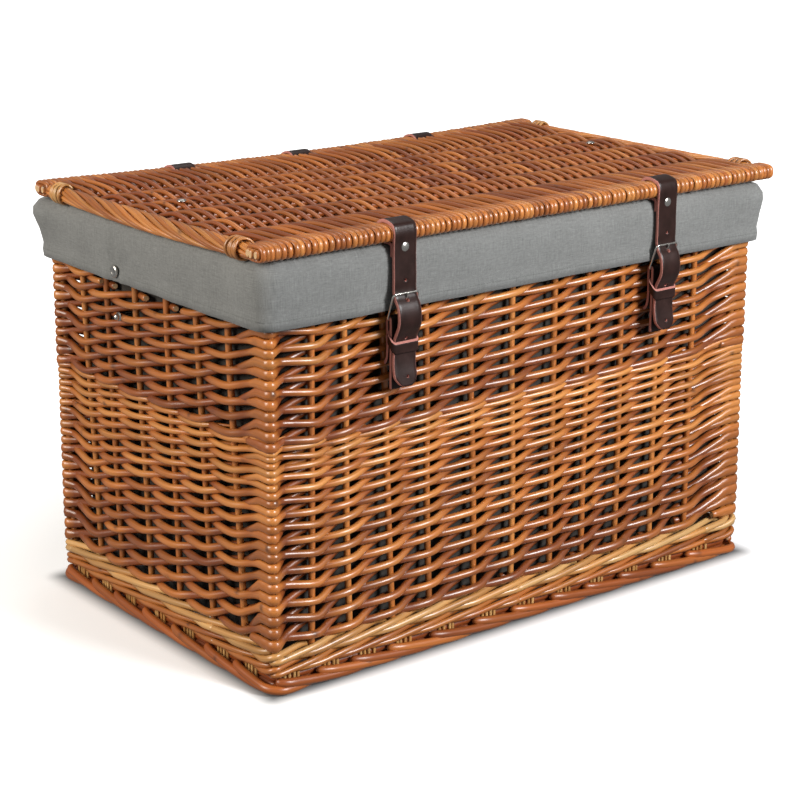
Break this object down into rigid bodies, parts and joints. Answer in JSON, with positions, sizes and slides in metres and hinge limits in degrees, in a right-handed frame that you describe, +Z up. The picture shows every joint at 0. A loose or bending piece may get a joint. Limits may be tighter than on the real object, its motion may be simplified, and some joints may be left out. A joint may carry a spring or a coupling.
{
  "type": "wicker basket",
  "caption": "Rectangular lidded wicker hamper with cloth liner, leather hinges, folding lid stays and two buckled straps.",
  "frame": {"origin": "on the ground under the middle of the woven body", "axes": "+Z up, X along the length, the strapped front faces -Y"},
  "size_m": [0.6334, 0.4069, 0.4203],
  "materials": {
    "willow": "glossy steamed willow rods",
    "dark_willow": "reddish brown steamed willow",
    "pale_willow": "pale peeled willow",
    "liner_cloth": "plain woven grey cloth",
    "leather": "dark brown leather with raw pinkish edges",
    "nickel": "polished nickel"
  },
  "bodies": {
    "root": {"base_sticks": "dark_willow", "base_weave": "willow", "foot_border": "dark_willow", "brown_wale": "dark_willow", "pale_wale": "pale_willow", "corner_posts": "willow", "front_stakes": "willow", "back_stakes": "willow", "left_stakes": "willow", "right_stakes": "willow", "front_weave": "willow", "back_weave": "willow", "left_weave": "willow", "right_weave": "willow", "rim_border": "dark_willow", "liner": "liner_cloth", "liner_stud_left": "nickel", "liner_stud_right": "nickel", "hinge_left": "leather", "hinge_middle": "leather", "hinge_right": "leather", "hinge_rivets": "nickel", "buckle_strap_left": "leather", "buckle_strap_right": "leather", "buckle_strap_rivets": "nickel", "keeper_left": "leather", "keeper_right": "leather", "stay_wall_rivets": "nickel"},
    "lid": {"lid_front_rail": "willow", "lid_back_rail": "willow", "lid_sticks": "dark_willow", "lid_weave": "willow", "lid_plait_left": "willow", "lid_plait_right": "willow", "lid_bindings": "pale_willow", "stay_tab_left": "leather", "stay_tab_right": "leather", "stay_lid_rivets": "nickel", "strap_rivet_left": "nickel", "strap_rivet_right": "nickel"},
    "strap_left": {"lid_strap_left": "leather"},
    "frame_left": {"buckle_left": "nickel"},
    "tongue_left": {"prong_left": "nickel"},
    "upper_left": {"stay_upper_left": "leather"},
    "lower_left": {"stay_lower_left": "leather"},
    "strap_right": {"lid_strap_right": "leather"},
    "frame_right": {"buckle_right": "nickel"},
    "tongue_right": {"prong_right": "nickel"},
    "upper_right": {"stay_upper_right": "leather"},
    "lower_right": {"stay_lower_right": "leather"}
  },
  "joints": [
    {"name": "lid_hinge", "type": "hinge", "parent": "root", "child": "lid", "pos_m": [0, 0.189, 0.40195], "axis": [-1, 0, 0], "range_deg": [0, 95], "deforming": ["hinge_left", "hinge_middle", "hinge_right"]},
    {"name": "strap_swing_left", "type": "hinge", "parent": "lid", "child": "strap_left", "pos_m": [-0.162, -0.20255, 0.386], "axis": [-1, 0, 0], "range_deg": [-90, 0], "deforming": ["lid_strap_left"]},
    {"name": "buckle_tilt_left", "type": "hinge", "parent": "root", "child": "frame_left", "pos_m": [-0.162, -0.196, 0.332], "axis": [1, 0, 0], "range_deg": [0, 80]},
    {"name": "prong_tilt_left", "type": "hinge", "parent": "frame_left", "child": "tongue_left", "pos_m": [-0.162, -0.196, 0.332], "axis": [1, 0, 0], "range_deg": [0, 30]},
    {"name": "stay_lower_turn_left", "type": "hinge", "parent": "root", "child": "lower_left", "pos_m": [-0.281, 0.058, 0.304], "axis": [-1, 0, 0], "range_deg": [0, 123.89]},
    {"name": "stay_upper_turn_left", "type": "hinge", "parent": "lid", "child": "upper_left", "pos_m": [-0.278, 0.008, 0.3935], "axis": [-1, 0, 0], "range_deg": [-107.75, 0]},
    {"name": "strap_swing_right", "type": "hinge", "parent": "lid", "child": "strap_right", "pos_m": [0.162, -0.20255, 0.386], "axis": [-1, 0, 0], "range_deg": [-90, 0], "deforming": ["lid_strap_right"]},
    {"name": "buckle_tilt_right", "type": "hinge", "parent": "root", "child": "frame_right", "pos_m": [0.162, -0.196, 0.332], "axis": [1, 0, 0], "range_deg": [0, 80]},
    {"name": "prong_tilt_right", "type": "hinge", "parent": "frame_right", "child": "tongue_right", "pos_m": [0.162, -0.196, 0.332], "axis": [1, 0, 0], "range_deg": [0, 30]},
    {"name": "stay_lower_turn_right", "type": "hinge", "parent": "root", "child": "lower_right", "pos_m": [0.281, 0.058, 0.304], "axis": [-1, 0, 0], "range_deg": [0, 123.89]},
    {"name": "stay_upper_turn_right", "type": "hinge", "parent": "lid", "child": "upper_right", "pos_m": [0.278, 0.008, 0.3935], "axis": [-1, 0, 0], "range_deg": [-107.75, 0]}
  ],
  "couplings": [
    {"joint": "strap_swing_left", "follows": "lid_hinge", "ratio": -0.9},
    {"joint": "stay_lower_turn_left", "follows": "lid_hinge", "ratio": 1.2936},
    {"joint": "stay_upper_turn_left", "follows": "lid_hinge", "ratio": -1.1237},
    {"joint": "strap_swing_right", "follows": "lid_hinge", "ratio": -0.9},
    {"joint": "stay_lower_turn_right", "follows": "lid_hinge", "ratio": 1.2936},
    {"joint": "stay_upper_turn_right", "follows": "lid_hinge", "ratio": -1.1237}
  ]
}
